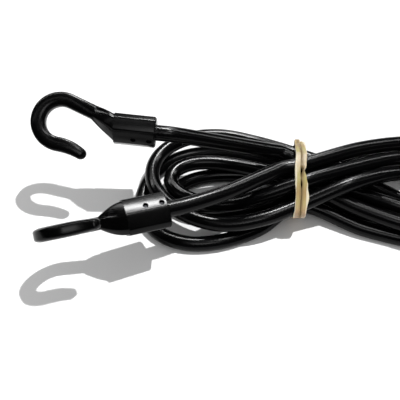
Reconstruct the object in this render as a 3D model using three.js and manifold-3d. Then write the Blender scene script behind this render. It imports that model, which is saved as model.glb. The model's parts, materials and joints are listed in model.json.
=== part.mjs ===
// A bungee cord folded into a hank, tied by a rubber band, with a moulded hook on each end.
// Millimetres, +Z up. The hank lies on the plane z = 0 and its waist is drawn in by the band.
import * as THREE from 'three';
import { mergeVertices } from 'three/addons/utils/BufferGeometryUtils.js';
import Module from 'manifold-3d';

// Cord: a braided sheath round a rubber core
const CORD_DIAMETER = 8;
const SHEATH_WALL = 1.2;
const FIT_CLEARANCE = 0.3;
const CORD_SIDES = 6;
const HANK_RINGS = 224;
const LEAD_RINGS = 10;
const CURVE_PARTS_PER_POINT = 20;
const MERGE_DISTANCE = 1e-4;

// Hank: the strands on the floor are cut flat by a tenth of the cord, and others lie on them
const FLAT_DEPTH = CORD_DIAMETER / 10;
const LAYER_GAP = 1;
const FLOOR_LAYER = CORD_DIAMETER / 2 - FLAT_DEPTH;
const UPPER_LAYER = FLOOR_LAYER + CORD_DIAMETER + LAYER_GAP;
const BIGHT_STEPS = 12;
const LAYER_SWAP_START = THREE.MathUtils.degToRad(60);
const LEAST_GAP = 0.4;
const GAP_STEP = 1.5;
const NEIGHBOUR_DIAMETERS = 3;

// The passes, bights and leads are laid out in cord diameters.
// Passes through the band: how far back and how high each strand lies.
const PASSES = {
  upperLead: { y: 1.02, z: 2.55 },
  outerBack: { y: 2.29, z: 1.86 },
  innerBack: { y: -0.09, z: 1.86 },
  lowerLead: { y: -0.06, z: 3.28 },
  innerFront: { y: -1.17, z: 2.93 },
  outerFront: { y: -2.33, z: 2.13 },
  floorBack: { y: 2.02, z: 0.78 },
  coreBack: { y: 0.89, z: 0.78 },
  coreFront: { y: -0.2, z: 0.77 },
  floorFront: { y: -1.42, z: 0.78 },
};

// Bights in the order in which the cord runs, from the upper hook to the lower one.
// swell opens the bight and lean moves its far end to the back. Past the band a strand rises by its
// crest over the strands that it crosses, and from x = hold to x = fall it comes down to its layer.
const CREST_RUN = 1.6;
const TO_RIGHT = 1;
const TO_LEFT = -1;
const BIGHTS = [
  { from: 'upperLead', to: 'outerFront', side: TO_RIGHT, reach: 12.52, swell: -2.27, lean: -1.01,
    layers: [UPPER_LAYER, UPPER_LAYER], crest: [0, 0.8],
    hold: [0, 5.2], fall: [2.6, 9.5] },
  { from: 'outerFront', to: 'outerBack', side: TO_LEFT, reach: 9.84, swell: -2.8, lean: 0.86,
    layers: [UPPER_LAYER, UPPER_LAYER], crest: [0, 0],
    hold: [0, 0], fall: [5.24, 1.83] },
  { from: 'outerBack', to: 'coreBack', side: TO_RIGHT, reach: 12.02, swell: -2.12, lean: -1.73,
    layers: [FLOOR_LAYER, FLOOR_LAYER], crest: [0, 0],
    hold: [4.2, 0], fall: [8, 1.53] },
  { from: 'coreBack', to: 'coreFront', side: TO_LEFT, reach: 8.36, swell: 1.42, lean: -0.73,
    layers: [FLOOR_LAYER, FLOOR_LAYER], crest: [0, 0],
    hold: [0, 0], fall: [1.57, 1.57] },
  { from: 'coreFront', to: 'innerFront', side: TO_RIGHT, reach: 13.84, swell: -2.49, lean: -0.14,
    layers: [FLOOR_LAYER, UPPER_LAYER], crest: [0, 0],
    hold: [0, 5.4], fall: [1.52, 11.5] },
  { from: 'innerFront', to: 'innerBack', side: TO_LEFT, reach: 8.54, swell: -1.62, lean: 0.83,
    layers: [UPPER_LAYER, UPPER_LAYER], crest: [0, 0],
    hold: [0, 0], fall: [5.25, 3.94] },
  { from: 'innerBack', to: 'floorBack', side: TO_RIGHT, reach: 15.2, swell: -3.63, lean: -2.07,
    layers: [UPPER_LAYER, FLOOR_LAYER], crest: [0, 0],
    hold: [0, 0], fall: [2.29, 1.52] },
  { from: 'floorBack', to: 'floorFront', side: TO_LEFT, reach: 10.51, swell: 3.22, lean: -0.97,
    layers: [FLOOR_LAYER, FLOOR_LAYER], crest: [0, 0],
    hold: [0, 0], fall: [1.2, 1.57] },
  { from: 'floorFront', to: 'lowerLead', side: TO_RIGHT, reach: 16.59, swell: -3.34, lean: -0.37,
    layers: [FLOOR_LAYER, UPPER_LAYER], crest: [0, 0],
    hold: [0, 5.6], fall: [1.52, 13] },
];

// Leads: from the band to the mouth of each hook, and the way each hook points and is turned
const UPPER_LEAD = {
  points: [[-2.01, 1.41, 3.15], [-5.67, 0.82, 4.62]],
  mouth: [-9.29, 0.45, 5.75],
  axis: [0.994, -0.054, -0.091],
  face: [0.042, -0.582, 0.812],
};
const LOWER_LEAD = {
  points: [[-2.07, -0.83, 3.33], [-4.96, -2.64, 3.67]],
  mouth: [-8.54, -4.17, 4],
  axis: [0.934, 0.336, -0.123],
  face: [-0.204, 0.782, 0.589],
};

// Hook: a bar with gently domed faces, bent to a J, which spreads into a socket for the cord.
// In the hook's own frame the mouth is at x = 0, the J lies at negative x and its tip at negative y.
const BAR_WIDTH = 7.1;
const BAR_THICKNESS = 6.3;
const BAR_DOME_WIDTH = 2.2;
const BAR_DOME_DROP = 0.9;
const THROAT_RADIUS = 7.6;
const THROAT_CENTRE = { x: -46.7, y: 0.5 };
const TIP_LENGTH = 15.2;
const TIP_FLARE = THREE.MathUtils.degToRad(4);
const TIP_CURL = THREE.MathUtils.degToRad(32);
const TIP_TAPER = 0.3;
const SHANK_SLOPE = THREE.MathUtils.degToRad(20);
const SHANK_LENGTH = 12.5;
const SOCKET_LENGTH = 20.4;
const SOCKET_SIDE_WALL = 2.9;
const SOCKET_FACE_WALL = 4.5;
const SOCKET_WIDTH = CORD_DIAMETER + 2 * SOCKET_SIDE_WALL;
const SOCKET_THICKNESS = CORD_DIAMETER + 2 * SOCKET_FACE_WALL;
const SOCKET_CHAMFER = 2.5;
const PIN_FLAT_WIDTH = 5;
const PIN_FLAT_DROP = 7.2;
const SOCKET_STEP = 0.6;
const EDGE_BREAK = 0.5;
const MOUTH_BREAK = 0.7;
const SOCKET_END_WALL = 2;
const BORE_DEPTH = SOCKET_LENGTH - SOCKET_END_WALL;
const BORE_CLEARANCE = 0.35;
const THROAT_STEPS = 14;
const SHOULDER_STEPS = 7;
const LIMB_STEPS = 4;
const TIP_STEPS = 4;
const TIP_END_SHARE = 0.13;

// Pins: two steel pins through the pin flat and the cord end
const PIN_DIAMETER = 1.7;
const FRONT_PIN_SHARE = 0.14;
const REAR_PIN_SHARE = 0.52;
const PIN_PLACES = { front: FRONT_PIN_SHARE * SOCKET_LENGTH, rear: REAR_PIN_SHARE * SOCKET_LENGTH };
const PIN_SINK = 0.9;
const PIN_BITE = 1.6;
const PIN_SIDES = 10;

// Rubber band round the waist
const BAND_WIDTH = 6.4;
const BAND_CLEARANCE = 0.6;
const BAND_THICKNESS = 1.1;
const BAND_CORNER_SIDES = 12;
const BAND_STEPS = 64;
const BAND_WAVES = 5;
const BAND_WAVE_DEPTH = 0.4;

const CORD_RADIUS = CORD_DIAMETER / 2;
const SHEATH_BORE_RADIUS = CORD_RADIUS - SHEATH_WALL;
const CORE_RADIUS = SHEATH_BORE_RADIUS - FIT_CLEARANCE;

const wasm = await Module();
wasm.setup();

// Solids

function solidOf(geometry) {
  const bare = geometry.clone();
  bare.deleteAttribute('normal');
  bare.deleteAttribute('uv');
  const merged = mergeVertices(bare, MERGE_DISTANCE);
  return new wasm.Manifold(new wasm.Mesh({
    numProp: 3,
    vertProperties: new Float32Array(merged.attributes.position.array),
    triVerts: new Uint32Array(merged.index.array),
  }));
}

function geometryOf(solid) {
  const mesh = solid.getMesh();
  const geometry = new THREE.BufferGeometry();
  geometry.setAttribute('position', new THREE.BufferAttribute(new Float32Array(mesh.vertProperties), 3));
  geometry.setIndex(new THREE.BufferAttribute(new Uint32Array(mesh.triVerts), 1));
  return geometry;
}

function joinRings(rings, closed) {
  // Joins rings of equal point counts, listed anticlockwise as seen from the far end of the run.
  const count = rings[0].length;
  const positions = rings.flat().flatMap((point) => point.toArray());
  const triangles = [];
  const links = closed ? rings.length : rings.length - 1;
  for (let ring = 0; ring < links; ring += 1) {
    const next = (ring + 1) % rings.length;
    for (let side = 0; side < count; side += 1) {
      const turn = (side + 1) % count;
      const a = ring * count + side;
      const b = ring * count + turn;
      const c = next * count + side;
      const d = next * count + turn;
      triangles.push(a, b, d, a, d, c);
    }
  }
  if (!closed) {
    const last = (rings.length - 1) * count;
    for (let side = 1; side < count - 1; side += 1) {
      triangles.push(0, side + 1, side);
      triangles.push(last, last + side, last + side + 1);
    }
  }
  const geometry = new THREE.BufferGeometry();
  geometry.setAttribute('position', new THREE.Float32BufferAttribute(positions, 3));
  geometry.setIndex(triangles);
  return geometry;
}

function ringAt(curve, along, radius, sides = CORD_SIDES) {
  // A ring of the cord, square to its run, with one corner straight down.
  const centre = curve.getPointAt(along);
  const run = curve.getTangentAt(along);
  const across = new THREE.Vector3().crossVectors(new THREE.Vector3(0, 0, 1), run).normalize();
  const upward = new THREE.Vector3().crossVectors(run, across);
  const ring = [];
  for (let side = 0; side < sides; side += 1) {
    const angle = -Math.PI / 2 + (side / sides) * 2 * Math.PI;
    ring.push(centre.clone()
      .addScaledVector(across, radius * Math.cos(angle))
      .addScaledVector(upward, radius * Math.sin(angle)));
  }
  return ring;
}

function rodGeometry(curve, ringCount, radius) {
  const rings = [];
  for (let ring = 0; ring <= ringCount; ring += 1) {
    rings.push(ringAt(curve, ring / ringCount, radius));
  }
  return joinRings(rings, false);
}

function sleeveGeometry(curve, ringCount, outerRadius, innerRadius) {
  // The outer skin runs out and the bore runs back, so the section closes on itself at both ends.
  const rings = [];
  for (let ring = 0; ring <= ringCount; ring += 1) {
    rings.push(ringAt(curve, ring / ringCount, outerRadius));
  }
  for (let ring = ringCount; ring >= 0; ring -= 1) {
    rings.push(ringAt(curve, ring / ringCount, innerRadius));
  }
  return joinRings(rings, true);
}

function straightCurve(start, end) {
  return new THREE.LineCurve3(start, end);
}

function pieceOf(name, geometry, material) {
  const flat = geometry.toNonIndexed();
  flat.computeVertexNormals();
  const mesh = new THREE.Mesh(flat, material);
  mesh.name = name;
  return mesh;
}

// Materials

function braidMaterial() {
  return new THREE.MeshStandardMaterial({ color: 0x15161a, roughness: 0.55, metalness: 0 });
}

function coreMaterial() {
  return new THREE.MeshStandardMaterial({ color: 0xcfc6b0, roughness: 0.8, metalness: 0 });
}

function hookMaterial() {
  return new THREE.MeshStandardMaterial({ color: 0x0e0f11, roughness: 0.28, metalness: 0 });
}

function pinMaterial() {
  return new THREE.MeshStandardMaterial({ color: 0x6c6e72, roughness: 0.4, metalness: 1 });
}

function bandMaterial() {
  return new THREE.MeshStandardMaterial({ color: 0xcdb78c, roughness: 0.7, metalness: 0 });
}

// Route of the hank

function easeBetween(value, start, end) {
  return THREE.MathUtils.smoothstep(value, start, end);
}

function placeOf(point) {
  return new THREE.Vector3(...point).multiplyScalar(CORD_DIAMETER);
}

function bightPoints(bight) {
  // Half a turn from one pass to the next: a teardrop that opens from the band.
  const start = PASSES[bight.from];
  const end = PASSES[bight.to];
  const points = [];
  for (let step = 0; step <= BIGHT_STEPS; step += 1) {
    const turn = Math.PI * (step / BIGHT_STEPS);
    const x = bight.side * bight.reach * Math.sin(turn);
    const spread = ((start.y - end.y) / 2) * Math.cos(turn) ** 3;
    const bulge = bight.swell * Math.sin(2 * turn) + bight.lean * Math.sin(turn);
    const y = (start.y + end.y) / 2 + spread + bulge;
    const swap = easeBetween(turn, LAYER_SWAP_START, Math.PI - LAYER_SWAP_START);
    const layer = THREE.MathUtils.lerp(bight.layers[0], bight.layers[1], swap);
    const half = step <= BIGHT_STEPS / 2 ? 0 : 1;
    const pass = half === 0 ? start : end;
    const risen = pass.z + bight.crest[half] * easeBetween(Math.abs(x), 0, CREST_RUN);
    const sunk = easeBetween(Math.abs(x), bight.hold[half], bight.fall[half]);
    const height = THREE.MathUtils.lerp(risen * CORD_DIAMETER, layer, sunk);
    points.push(new THREE.Vector3(x * CORD_DIAMETER, y * CORD_DIAMETER, height));
  }
  return points;
}

function leadPoints(lead) {
  // From the cut beside the band to the mouth, straight for one cord diameter at both ends.
  const [cut, middle] = lead.points.map(placeOf);
  const mouth = placeOf(lead.mouth);
  const axis = new THREE.Vector3(...lead.axis).normalize();
  const leaving = middle.clone().sub(cut).normalize();
  return {
    cut,
    leaving,
    points: [
      cut,
      cut.clone().addScaledVector(leaving, CORD_DIAMETER),
      middle,
      mouth.clone().addScaledVector(axis, CORD_DIAMETER),
      mouth,
    ],
  };
}

function hankPoints() {
  const upper = leadPoints(UPPER_LEAD);
  const lower = leadPoints(LOWER_LEAD);
  const points = [upper.cut, upper.cut.clone().addScaledVector(upper.leaving, -CORD_DIAMETER)];
  BIGHTS.forEach((bight, order) => {
    const run = bightPoints(bight);
    points.push(...(order === 0 ? run : run.slice(1)));
  });
  points.push(lower.cut.clone().addScaledVector(lower.leaving, -CORD_DIAMETER), lower.cut);
  return points;
}

function smoothCurve(points) {
  const curve = new THREE.CatmullRomCurve3(points, false, 'centripetal');
  curve.arcLengthDivisions = points.length * CURVE_PARTS_PER_POINT;
  return curve;
}

function shortened(curve, fromStart, fromEnd) {
  // The same run with a little taken off its ends, so that cut faces don't touch.
  const length = curve.getLength();
  const count = Math.ceil(length / CORD_DIAMETER) * 2;
  const points = [];
  for (let step = 0; step <= count; step += 1) {
    const along = THREE.MathUtils.lerp(fromStart / length, 1 - fromEnd / length, step / count);
    points.push(curve.getPointAt(along));
  }
  return smoothCurve(points);
}

function measureLeastGap(curve) {
  // Least gap between strands: points only a few diameters apart along the cord are neighbours.
  const count = Math.floor(curve.getLength() / GAP_STEP);
  const points = curve.getSpacedPoints(count);
  const skip = Math.ceil((NEIGHBOUR_DIAMETERS * CORD_DIAMETER) / GAP_STEP);
  let least = Infinity;
  for (let first = 0; first <= count; first += 1) {
    for (let second = first + skip; second <= count; second += 1) {
      least = Math.min(least, points[first].distanceTo(points[second]));
    }
  }
  return least - CORD_DIAMETER;
}

// Rubber band

function convexOutline(points) {
  // The tight loop round a set of points, anticlockwise.
  const sorted = [...points].sort((a, b) => a.x - b.x || a.y - b.y);
  const turn = (a, b, c) => (b.x - a.x) * (c.y - a.y) - (b.y - a.y) * (c.x - a.x);
  const half = (list) => {
    const chain = [];
    list.forEach((point) => {
      while (chain.length > 1 && turn(chain.at(-2), chain.at(-1), point) <= 0) {
        chain.pop();
      }
      chain.push(point);
    });
    return chain.slice(0, -1);
  };
  return [...half(sorted), ...half(sorted.reverse())];
}

function waistOutline(curve, clearance) {
  // Outline, seen along X, of every strand where it passes under the band.
  const rim = [];
  const count = Math.floor(curve.getLength());
  const reach = BAND_WIDTH / 2 + BAND_WAVE_DEPTH;
  for (let step = 0; step <= count; step += 1) {
    ringAt(curve, step / count, CORD_RADIUS + clearance, BAND_CORNER_SIDES)
      .filter((point) => Math.abs(point.x) <= reach)
      .forEach((point) => rim.push(new THREE.Vector2(point.y, point.z)));
  }
  return convexOutline(rim);
}

function bandGeometry(curve) {
  // One flat strip round the waist, with gently wavy edges.
  const inner = new THREE.Path(waistOutline(curve, BAND_CLEARANCE));
  inner.closePath();
  const count = BAND_STEPS;
  const spots = inner.getSpacedPoints(count).slice(0, count);
  const middle = spots.reduce((sum, spot) => sum.add(spot), new THREE.Vector2()).divideScalar(count);
  const rings = spots.map((spot, order) => {
    const before = spots[(order + count - 1) % count];
    const after = spots[(order + 1) % count];
    const run = after.clone().sub(before).normalize();
    let out = new THREE.Vector2(run.y, -run.x);
    if (out.dot(spot.clone().sub(middle)) < 0) {
      out = out.negate();
    }
    const outer = spot.clone().addScaledVector(out, BAND_THICKNESS);
    const wave = BAND_WAVE_DEPTH * Math.sin((order / count) * BAND_WAVES * 2 * Math.PI);
    const half = BAND_WIDTH / 2;
    return [
      new THREE.Vector3(half + wave, spot.x, spot.y),
      new THREE.Vector3(half + wave, outer.x, outer.y),
      new THREE.Vector3(-half + wave, outer.x, outer.y),
      new THREE.Vector3(-half + wave, spot.x, spot.y),
    ];
  });
  return joinRings(rings, true);
}

// Hook

function chamferedOutline(halfWidth, halfThickness, chamfers) {
  // Eight corners round the section, from the pin flat on, each broken into two points.
  const { pinFlat, plain } = chamfers;
  const corners = [
    [-halfWidth + pinFlat.width, halfThickness],
    [-halfWidth, halfThickness - pinFlat.drop],
    [-halfWidth, -halfThickness + plain.drop],
    [-halfWidth + plain.width, -halfThickness],
    [halfWidth - plain.width, -halfThickness],
    [halfWidth, -halfThickness + plain.drop],
    [halfWidth, halfThickness - plain.drop],
    [halfWidth - plain.width, halfThickness],
  ].map(([y, z]) => new THREE.Vector2(y, z));
  return corners.flatMap((corner, order) => {
    const before = corners[(order + corners.length - 1) % corners.length];
    const after = corners[(order + 1) % corners.length];
    const toward = (other) => corner.clone().add(other.clone().sub(corner).setLength(EDGE_BREAK));
    return [toward(before), toward(after)];
  });
}

const BAR_OUTLINE = chamferedOutline(BAR_WIDTH / 2, BAR_THICKNESS / 2, {
  pinFlat: { width: BAR_DOME_WIDTH, drop: BAR_DOME_DROP },
  plain: { width: BAR_DOME_WIDTH, drop: BAR_DOME_DROP },
});
const SOCKET_OUTLINE = chamferedOutline(SOCKET_WIDTH / 2, SOCKET_THICKNESS / 2, {
  pinFlat: { width: PIN_FLAT_WIDTH, drop: PIN_FLAT_DROP },
  plain: { width: SOCKET_CHAMFER, drop: SOCKET_CHAMFER },
});

function stationRing({ x, y, slope, outline }) {
  // A section square to the bar's run, where slope is the run's angle from +x.
  return outline.map((point) => new THREE.Vector3(
    x - point.x * Math.sin(slope),
    y + point.x * Math.cos(slope),
    point.y,
  ));
}

function scaledOutline(outline, shareWidth, shareThickness) {
  return outline.map((point) => new THREE.Vector2(point.x * shareWidth, point.y * shareThickness));
}

function limbStation(start, along, roundness) {
  // The limb curls away from the shank and grows thinner towards its tip.
  const share = along / TIP_LENGTH;
  const flare = TIP_FLARE + TIP_CURL * share;
  const bend = TIP_LENGTH / TIP_CURL;
  const size = roundness * (1 - TIP_TAPER * share * share);
  return {
    x: start.x + bend * (Math.sin(flare) - Math.sin(TIP_FLARE)),
    y: start.y + bend * (Math.cos(flare) - Math.cos(TIP_FLARE)),
    slope: Math.PI - flare,
    outline: scaledOutline(BAR_OUTLINE, size, size),
  };
}

function limbStations(start) {
  // From a tip rounded like half an egg, along the limb, to where the throat begins.
  const stations = [];
  const roundLength = (BAR_WIDTH / 2) * (1 - TIP_TAPER);
  for (let step = 0; step <= TIP_STEPS; step += 1) {
    const turn = (Math.PI / 2) * THREE.MathUtils.lerp(TIP_END_SHARE, 1, step / TIP_STEPS);
    const along = TIP_LENGTH - roundLength * (1 - Math.cos(turn));
    stations.push(limbStation(start, along, Math.sin(turn)));
  }
  for (let step = 1; step < LIMB_STEPS; step += 1) {
    const along = (TIP_LENGTH - roundLength) * (1 - step / LIMB_STEPS);
    stations.push(limbStation(start, along, 1));
  }
  return stations;
}

function hookStations() {
  const meanRadius = THROAT_RADIUS + BAR_WIDTH / 2;
  const onThroat = (angle) => ({
    x: THROAT_CENTRE.x + meanRadius * Math.cos(angle),
    y: THROAT_CENTRE.y + meanRadius * Math.sin(angle),
  });
  const limbAngle = 1.5 * Math.PI - TIP_FLARE;
  const shankAngle = Math.PI / 2 - SHANK_SLOPE;
  const limbStart = onThroat(limbAngle);
  const shankStart = onThroat(shankAngle);

  const stations = limbStations(limbStart);
  for (let step = 0; step <= THROAT_STEPS; step += 1) {
    const angle = THREE.MathUtils.lerp(limbAngle, shankAngle, step / THROAT_STEPS);
    stations.push({ ...onThroat(angle), slope: angle - Math.PI / 2, outline: BAR_OUTLINE });
  }

  const shankEnd = {
    x: shankStart.x + SHANK_LENGTH * Math.cos(SHANK_SLOPE),
    y: shankStart.y - SHANK_LENGTH * Math.sin(SHANK_SLOPE),
  };
  const shoulderEnd = { x: -SOCKET_LENGTH, y: 0 };
  const shrunk = scaledOutline(
    SOCKET_OUTLINE,
    1 - (2 * SOCKET_STEP) / SOCKET_WIDTH,
    1 - (2 * SOCKET_STEP) / SOCKET_THICKNESS,
  );
  for (let step = 0; step <= SHOULDER_STEPS; step += 1) {
    const share = step / SHOULDER_STEPS;
    const widening = share * share * (3 - 2 * share);
    const thickening = Math.sin((share * Math.PI) / 2);
    stations.push({
      x: THREE.MathUtils.lerp(shankEnd.x, shoulderEnd.x, share),
      y: THREE.MathUtils.lerp(shankEnd.y, shoulderEnd.y, share),
      slope: -SHANK_SLOPE * (1 - widening),
      outline: BAR_OUTLINE.map((point, order) => new THREE.Vector2(
        THREE.MathUtils.lerp(point.x, shrunk[order].x, share),
        THREE.MathUtils.lerp(point.y, shrunk[order].y, thickening),
      )),
    });
  }
  const rim = scaledOutline(
    SOCKET_OUTLINE,
    1 - (2 * MOUTH_BREAK) / SOCKET_WIDTH,
    1 - (2 * MOUTH_BREAK) / SOCKET_THICKNESS,
  );
  stations.push({ x: -SOCKET_LENGTH, y: 0, slope: 0, outline: SOCKET_OUTLINE });
  stations.push({ x: -MOUTH_BREAK, y: 0, slope: 0, outline: SOCKET_OUTLINE });
  stations.push({ x: 0, y: 0, slope: 0, outline: rim });
  return stations;
}

function pinDirection() {
  // Square to the pin flat, pointing out of the socket.
  return new THREE.Vector3(0, -PIN_FLAT_DROP, PIN_FLAT_WIDTH).normalize();
}

function pinFlatDistance() {
  const edge = new THREE.Vector3(0, -SOCKET_WIDTH / 2 + PIN_FLAT_WIDTH, SOCKET_THICKNESS / 2);
  return edge.dot(pinDirection());
}

function pinCylinder(place, radius, inner, outer) {
  const direction = pinDirection();
  const geometry = new THREE.CylinderGeometry(radius, radius, outer - inner, PIN_SIDES);
  const turn = new THREE.Quaternion().setFromUnitVectors(new THREE.Vector3(0, 1, 0), direction);
  geometry.applyQuaternion(turn);
  const middle = direction.clone().multiplyScalar((inner + outer) / 2);
  geometry.translate(-place, middle.y, middle.z);
  return geometry;
}

function pinHoles() {
  // Blind holes: each goes through the pin flat and the cord and ends in the far wall.
  const radius = PIN_DIAMETER / 2 + FIT_CLEARANCE;
  const far = -(CORD_RADIUS + FIT_CLEARANCE + PIN_BITE + FIT_CLEARANCE);
  return Object.values(PIN_PLACES)
    .map((place) => solidOf(pinCylinder(place, radius, far, SOCKET_WIDTH)))
    .reduce((all, hole) => all.add(hole));
}

function boreSolid() {
  // The socket's bore has the cord's own sides, one clearance larger.
  const far = new THREE.Vector3(-BORE_DEPTH, 0, 0);
  const near = new THREE.Vector3(SOCKET_LENGTH, 0, 0);
  return solidOf(rodGeometry(straightCurve(far, near), 1, CORD_RADIUS + BORE_CLEARANCE));
}

function cordEndCurve() {
  const far = new THREE.Vector3(-BORE_DEPTH + FIT_CLEARANCE, 0, 0);
  const near = new THREE.Vector3(-FIT_CLEARANCE / 2, 0, 0);
  return straightCurve(far, near);
}

function hookGroup(end, lead) {
  const holes = pinHoles();
  const group = new THREE.Group();
  const loft = solidOf(joinRings(hookStations().map(stationRing), false));
  const hook = loft.subtract(boreSolid()).subtract(holes);
  group.add(pieceOf(`${end}_hook`, geometryOf(hook), hookMaterial()));

  const endSheath = solidOf(sleeveGeometry(cordEndCurve(), 1, CORD_RADIUS, SHEATH_BORE_RADIUS));
  group.add(pieceOf(`${end}_end_sheath`, geometryOf(endSheath.subtract(holes)), braidMaterial()));
  const endCore = solidOf(rodGeometry(cordEndCurve(), 1, CORE_RADIUS));
  group.add(pieceOf(`${end}_end_core`, geometryOf(endCore.subtract(holes)), coreMaterial()));

  const inner = -(CORD_RADIUS + FIT_CLEARANCE + PIN_BITE);
  const outer = pinFlatDistance() - PIN_SINK;
  Object.entries(PIN_PLACES).forEach(([name, place]) => {
    const pin = pinCylinder(place, PIN_DIAMETER / 2, inner, outer);
    group.add(pieceOf(`${end}_hook_${name}_pin`, pin, pinMaterial()));
  });

  const along = new THREE.Vector3(...lead.axis).normalize();
  const face = new THREE.Vector3(...lead.face);
  face.addScaledVector(along, -face.dot(along)).normalize();
  const side = new THREE.Vector3().crossVectors(face, along);
  group.quaternion.setFromRotationMatrix(new THREE.Matrix4().makeBasis(along, side, face));
  group.position.copy(placeOf(lead.mouth));
  return group;
}

// Cord between the hooks

function leadGroup(end, lead) {
  const run = smoothCurve(leadPoints(lead).points);
  const curve = shortened(run, FIT_CLEARANCE / 2, FIT_CLEARANCE / 2);
  const group = new THREE.Group();
  const sheath = sleeveGeometry(curve, LEAD_RINGS, CORD_RADIUS, SHEATH_BORE_RADIUS);
  group.add(pieceOf(`${end}_lead_sheath`, sheath, braidMaterial()));
  group.add(pieceOf(`${end}_lead_core`, rodGeometry(curve, LEAD_RINGS, CORE_RADIUS), coreMaterial()));
  return group;
}

function hankGroup(curve) {
  const group = new THREE.Group();
  const run = shortened(curve, FIT_CLEARANCE / 2, FIT_CLEARANCE / 2);
  const sheath = solidOf(sleeveGeometry(run, HANK_RINGS, CORD_RADIUS, SHEATH_BORE_RADIUS));
  const flattened = sheath.trimByPlane([0, 0, 1], 0);
  group.add(pieceOf('hank_sheath', geometryOf(flattened), braidMaterial()));
  group.add(pieceOf('hank_core', rodGeometry(run, HANK_RINGS, CORE_RADIUS), coreMaterial()));
  group.add(pieceOf('rubber_band', bandGeometry(curve), bandMaterial()));
  return group;
}

// Assembly: the origin is under the middle of the whole object, on the floor

function assemble() {
  const hankCurve = smoothCurve(hankPoints());
  const gap = measureLeastGap(hankCurve);
  console.log(`least gap of the hank to itself ${gap.toFixed(2)} mm, wanted over ${LEAST_GAP} mm`);
  console.log(`hank ${hankCurve.getLength().toFixed(0)} mm of cord`);

  const parts = new THREE.Group();
  parts.add(hankGroup(hankCurve));
  [['upper', UPPER_LEAD], ['lower', LOWER_LEAD]].forEach(([end, lead]) => {
    parts.add(leadGroup(end, lead));
    parts.add(hookGroup(end, lead));
  });
  parts.updateMatrixWorld(true);
  const box = new THREE.Box3().setFromObject(parts, true);
  const middle = box.getCenter(new THREE.Vector3());
  parts.position.set(-middle.x, -middle.y, -box.min.z);
  const whole = new THREE.Group();
  whole.name = 'bungee_cord';
  whole.add(parts);
  whole.updateMatrixWorld(true);
  return whole;
}

const bungeeCord = assemble();

export default bungeeCord;
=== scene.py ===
import json
import math

import bmesh
import bpy
from mathutils import Matrix, Vector, noise


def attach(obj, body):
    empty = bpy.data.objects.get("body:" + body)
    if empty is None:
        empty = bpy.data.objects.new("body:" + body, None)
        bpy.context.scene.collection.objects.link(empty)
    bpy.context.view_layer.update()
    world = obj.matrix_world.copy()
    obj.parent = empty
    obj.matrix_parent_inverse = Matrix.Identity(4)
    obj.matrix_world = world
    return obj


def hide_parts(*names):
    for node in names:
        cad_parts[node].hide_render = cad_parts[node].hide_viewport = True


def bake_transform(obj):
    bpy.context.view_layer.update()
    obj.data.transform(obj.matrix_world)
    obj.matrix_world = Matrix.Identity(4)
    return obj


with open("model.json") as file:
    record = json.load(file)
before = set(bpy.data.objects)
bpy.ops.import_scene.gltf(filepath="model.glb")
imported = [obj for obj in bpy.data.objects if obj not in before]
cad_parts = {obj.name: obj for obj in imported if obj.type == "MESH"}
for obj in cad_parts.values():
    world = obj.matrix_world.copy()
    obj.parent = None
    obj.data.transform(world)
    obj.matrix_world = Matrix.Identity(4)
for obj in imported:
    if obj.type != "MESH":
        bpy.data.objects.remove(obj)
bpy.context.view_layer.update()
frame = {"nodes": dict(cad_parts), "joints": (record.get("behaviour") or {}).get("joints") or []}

# Cord: lengths of the layout are in cord diameters
MM = 0.001
CORD = 8 * MM
CORD_SIDES = 20
RING_SPACING = 2.0 * MM
CORE_RADIUS = 2.5 * MM
FLOOR_LAYER = 0.4
UPPER_LAYER = 1.525
BIGHT_STEPS = 12
LAYER_SWAP_START = math.radians(60)
CURVE_PARTS = 16

# Passes through the band: how far back and how high each strand lies
PASSES = {
    "upper_lead": (1.02, 2.55),
    "outer_back": (2.29, 1.86),
    "inner_back": (-0.09, 1.86),
    "lower_lead": (-0.06, 3.28),
    "inner_front": (-1.17, 2.93),
    "outer_front": (-2.33, 2.13),
    "floor_back": (2.02, 0.78),
    "core_back": (0.89, 0.78),
    "core_front": (-0.2, 0.77),
    "floor_front": (-1.42, 0.78),
}

# Bights in the order in which the cord runs: from, to, side, reach, swell, lean, the two layers,
# the crests over the strands it crosses, and where the strand starts and ends its way down
CREST_RUN = 1.6
TO_RIGHT = 1
TO_LEFT = -1
UP = UPPER_LAYER
LOW = FLOOR_LAYER
BIGHTS = [
    ("upper_lead", "outer_front", TO_RIGHT, 12.52, -2.27, -1.01,
     (UP, UP), (0, 0.8), (0, 5.2), (2.6, 9.5)),
    ("outer_front", "outer_back", TO_LEFT, 9.84, -2.8, 0.86,
     (UP, UP), (0, 0), (0, 0), (5.24, 1.83)),
    ("outer_back", "core_back", TO_RIGHT, 12.02, -2.12, -1.73,
     (LOW, LOW), (0, 0), (4.2, 0), (8, 1.53)),
    ("core_back", "core_front", TO_LEFT, 8.36, 1.42, -0.73,
     (LOW, LOW), (0, 0), (0, 0), (1.57, 1.57)),
    ("core_front", "inner_front", TO_RIGHT, 13.84, -2.49, -0.14,
     (LOW, UP), (0, 0), (0, 5.4), (1.52, 11.5)),
    ("inner_front", "inner_back", TO_LEFT, 8.54, -1.62, 0.83,
     (UP, UP), (0, 0), (0, 0), (5.25, 3.94)),
    ("inner_back", "floor_back", TO_RIGHT, 15.2, -3.63, -2.07,
     (UP, LOW), (0, 0), (0, 0), (2.29, 1.52)),
    ("floor_back", "floor_front", TO_LEFT, 10.51, 3.22, -0.97,
     (LOW, LOW), (0, 0), (0, 0), (1.2, 1.57)),
    ("floor_front", "lower_lead", TO_RIGHT, 16.59, -3.34, -0.37,
     (LOW, UP), (0, 0), (0, 5.6), (1.52, 13)),
]

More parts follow.
